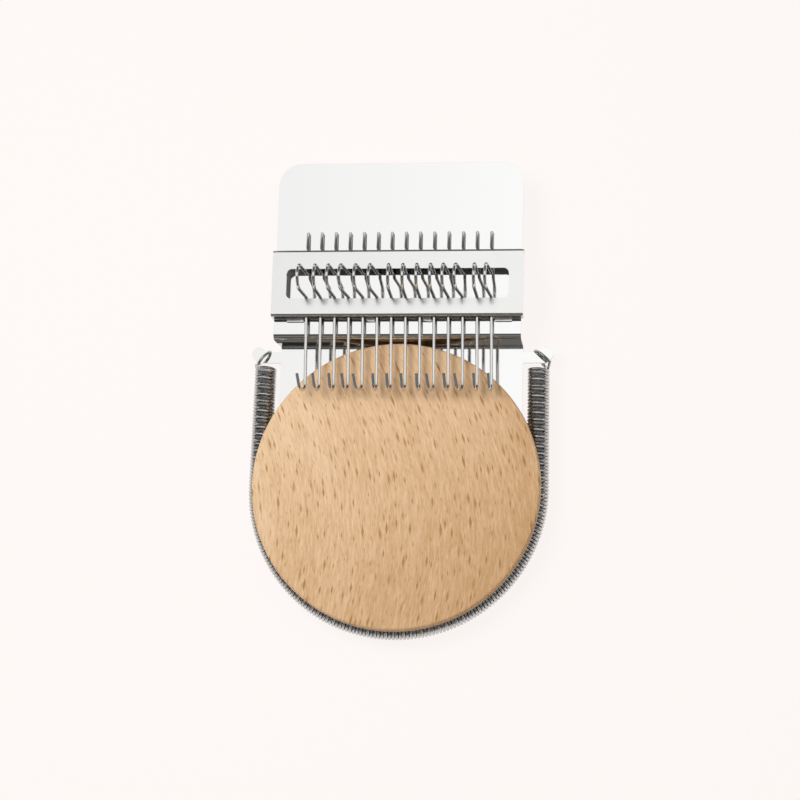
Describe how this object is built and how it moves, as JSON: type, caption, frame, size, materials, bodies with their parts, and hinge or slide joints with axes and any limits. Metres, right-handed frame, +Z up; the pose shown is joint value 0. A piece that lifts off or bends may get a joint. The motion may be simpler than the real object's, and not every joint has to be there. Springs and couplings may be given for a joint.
{
  "type": "darning loom",
  "caption": "Hand darning loom: grooved wooden disc held by a coil spring in a stepped metal plate, with a row of turning wire hooks under a slotted cover.",
  "frame": {"origin": "on the disc's axis at the disc's bottom face, which the loom stands on", "axes": "+Z up out of the disc's face, towards the hooks' cranks; +Y from the disc to the plate; +X to the right seen from above"},
  "size_m": [0.0736, 0.1171, 0.0256],
  "materials": {
    "oiled_beech": "fine sanded and oiled beech",
    "polished_sheet": "mirror-polished stainless sheet",
    "hook_wire": "bright drawn steel wire",
    "spring_wire": "bright spring steel wire"
  },
  "bodies": {
    "disc": {"wooden_disc": "oiled_beech", "tension_spring": "spring_wire"},
    "frame": {"back_plate": "polished_sheet", "hook_cover": "polished_sheet"},
    "hook_01": {"hook_01": "hook_wire"},
    "hook_02": {"hook_02": "hook_wire"},
    "hook_03": {"hook_03": "hook_wire"},
    "hook_04": {"hook_04": "hook_wire"},
    "hook_05": {"hook_05": "hook_wire"},
    "hook_06": {"hook_06": "hook_wire"},
    "hook_07": {"hook_07": "hook_wire"},
    "hook_08": {"hook_08": "hook_wire"},
    "hook_09": {"hook_09": "hook_wire"},
    "hook_10": {"hook_10": "hook_wire"},
    "hook_11": {"hook_11": "hook_wire"},
    "hook_12": {"hook_12": "hook_wire"},
    "hook_13": {"hook_13": "hook_wire"},
    "hook_14": {"hook_14": "hook_wire"}
  },
  "joints": [
    {"name": "frame_slide", "type": "slide", "parent": "disc", "child": "frame", "axis": [0, 1, 0], "range_m": [0, 0.01], "stiffness_N_per_m": 200, "springref_m": -0.01, "deforming": ["tension_spring"]},
    {"name": "hook_01_turn", "type": "hinge", "parent": "frame", "child": "hook_01", "pos_m": [-0.02262, 0.045, 0.01405], "axis": [0, 1, 0], "range_deg": [-50, 50]},
    {"name": "hook_02_turn", "type": "hinge", "parent": "frame", "child": "hook_02", "pos_m": [-0.01914, 0.045, 0.01405], "axis": [0, 1, 0], "range_deg": [-50, 50]},
    {"name": "hook_03_turn", "type": "hinge", "parent": "frame", "child": "hook_03", "pos_m": [-0.01566, 0.045, 0.01405], "axis": [0, 1, 0], "range_deg": [-50, 50]},
    {"name": "hook_04_turn", "type": "hinge", "parent": "frame", "child": "hook_04", "pos_m": [-0.01218, 0.045, 0.01405], "axis": [0, 1, 0], "range_deg": [-50, 50]},
    {"name": "hook_05_turn", "type": "hinge", "parent": "frame", "child": "hook_05", "pos_m": [-0.0087, 0.045, 0.01405], "axis": [0, 1, 0], "range_deg": [-50, 50]},
    {"name": "hook_06_turn", "type": "hinge", "parent": "frame", "child": "hook_06", "pos_m": [-0.00522, 0.045, 0.01405], "axis": [0, 1, 0], "range_deg": [-50, 50]},
    {"name": "hook_07_turn", "type": "hinge", "parent": "frame", "child": "hook_07", "pos_m": [-0.00174, 0.045, 0.01405], "axis": [0, 1, 0], "range_deg": [-50, 50]},
    {"name": "hook_08_turn", "type": "hinge", "parent": "frame", "child": "hook_08", "pos_m": [0.00174, 0.045, 0.01405], "axis": [0, 1, 0], "range_deg": [-50, 50]},
    {"name": "hook_09_turn", "type": "hinge", "parent": "frame", "child": "hook_09", "pos_m": [0.00522, 0.045, 0.01405], "axis": [0, 1, 0], "range_deg": [-50, 50]},
    {"name": "hook_10_turn", "type": "hinge", "parent": "frame", "child": "hook_10", "pos_m": [0.0087, 0.045, 0.01405], "axis": [0, 1, 0], "range_deg": [-50, 50]},
    {"name": "hook_11_turn", "type": "hinge", "parent": "frame", "child": "hook_11", "pos_m": [0.01218, 0.045, 0.01405], "axis": [0, 1, 0], "range_deg": [-50, 50]},
    {"name": "hook_12_turn", "type": "hinge", "parent": "frame", "child": "hook_12", "pos_m": [0.01566, 0.045, 0.01405], "axis": [0, 1, 0], "range_deg": [-50, 50]},
    {"name": "hook_13_turn", "type": "hinge", "parent": "frame", "child": "hook_13", "pos_m": [0.01914, 0.045, 0.01405], "axis": [0, 1, 0], "range_deg": [-50, 50]},
    {"name": "hook_14_turn", "type": "hinge", "parent": "frame", "child": "hook_14", "pos_m": [0.02262, 0.045, 0.01405], "axis": [0, 1, 0], "range_deg": [-50, 50]}
  ],
  "couplings": [
    {"joint": "hook_02_turn", "follows": "hook_01_turn", "ratio": 1},
    {"joint": "hook_03_turn", "follows": "hook_01_turn", "ratio": 1},
    {"joint": "hook_04_turn", "follows": "hook_01_turn", "ratio": 1},
    {"joint": "hook_05_turn", "follows": "hook_01_turn", "ratio": 1},
    {"joint": "hook_06_turn", "follows": "hook_01_turn", "ratio": 1},
    {"joint": "hook_07_turn", "follows": "hook_01_turn", "ratio": 1},
    {"joint": "hook_08_turn", "follows": "hook_01_turn", "ratio": 1},
    {"joint": "hook_09_turn", "follows": "hook_01_turn", "ratio": 1},
    {"joint": "hook_10_turn", "follows": "hook_01_turn", "ratio": 1},
    {"joint": "hook_11_turn", "follows": "hook_01_turn", "ratio": 1},
    {"joint": "hook_12_turn", "follows": "hook_01_turn", "ratio": 1},
    {"joint": "hook_13_turn", "follows": "hook_01_turn", "ratio": 1},
    {"joint": "hook_14_turn", "follows": "hook_01_turn", "ratio": 1}
  ]
}
